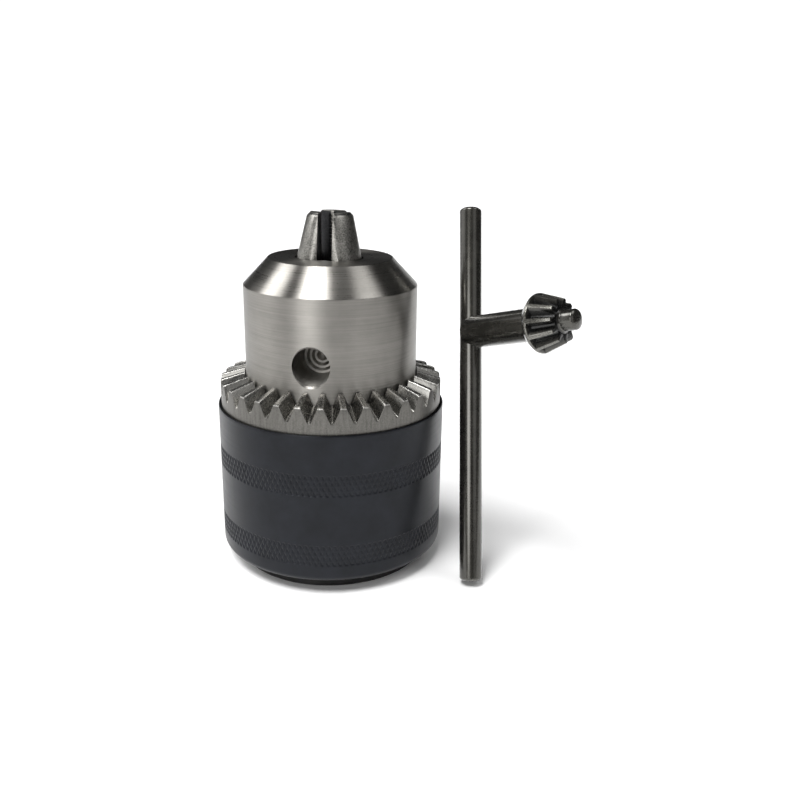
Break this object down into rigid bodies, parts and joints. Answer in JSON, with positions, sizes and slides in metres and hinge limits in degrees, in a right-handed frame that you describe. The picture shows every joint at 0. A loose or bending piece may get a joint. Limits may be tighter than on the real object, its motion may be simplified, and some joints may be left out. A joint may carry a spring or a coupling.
{
  "type": "keyed drill chuck",
  "caption": "Keyed drill chuck with self-centring jaws that a geared, knurled sleeve drives through a split nut, and its T-handled bevel key.",
  "frame": {"origin": "centre of the chuck's rear face, where the spindle thread opens", "axes": "+Z along the chuck's axis towards the jaws, -Y towards the side seen in front, with the key on the +X side"},
  "size_m": [0.0642, 0.042, 0.0653],
  "materials": {
    "body_steel": "fine turned, oiled",
    "jaw_steel": "ground, hardened",
    "nut_steel": "hardened, as machined",
    "ring_steel": "machined teeth",
    "jacket_black": "black oxide, satin, knurled bands",
    "key_black": "oiled black oxide"
  },
  "bodies": {
    "chuck": {"chuck_body": "body_steel"},
    "sleeve": {"ring_gear": "ring_steel", "sleeve_jacket": "jacket_black", "nut_half_a": "nut_steel", "nut_half_b": "nut_steel"},
    "jaw_1": {"jaw_1": "jaw_steel"},
    "jaw_2": {"jaw_2": "jaw_steel"},
    "jaw_3": {"jaw_3": "jaw_steel"},
    "key": {"key_bar": "key_black", "key_shaft": "key_black"}
  },
  "joints": [
    {"name": "sleeve_turn", "type": "hinge", "parent": "chuck", "child": "sleeve", "pos_m": [0, 0, 0.03], "axis": [0, 0, 1], "range_deg": [-540, 3438]},
    {"name": "jaw_1_travel", "type": "slide", "parent": "chuck", "child": "jaw_1", "axis": [-0.2031, 0.1604, 0.9659], "range_m": [-0.01915, 0.00305]},
    {"name": "jaw_2_travel", "type": "slide", "parent": "chuck", "child": "jaw_2", "axis": [-0.0374, -0.2561, 0.9659], "range_m": [-0.01915, 0.00305]},
    {"name": "jaw_3_travel", "type": "slide", "parent": "chuck", "child": "jaw_3", "axis": [0.2405, 0.0957, 0.9659], "range_m": [-0.01915, 0.00305]},
    {"name": "key_lift", "type": "slide", "parent": "chuck", "child": "key", "axis": [0, 0, 1], "range_m": [0, 0.12]}
  ],
  "couplings": [
    {"joint": "jaw_1_travel", "follows": "sleeve_turn", "m_per_rad": -0.00031831},
    {"joint": "jaw_2_travel", "follows": "sleeve_turn", "m_per_rad": -0.00031831},
    {"joint": "jaw_3_travel", "follows": "sleeve_turn", "m_per_rad": -0.00031831}
  ]
}
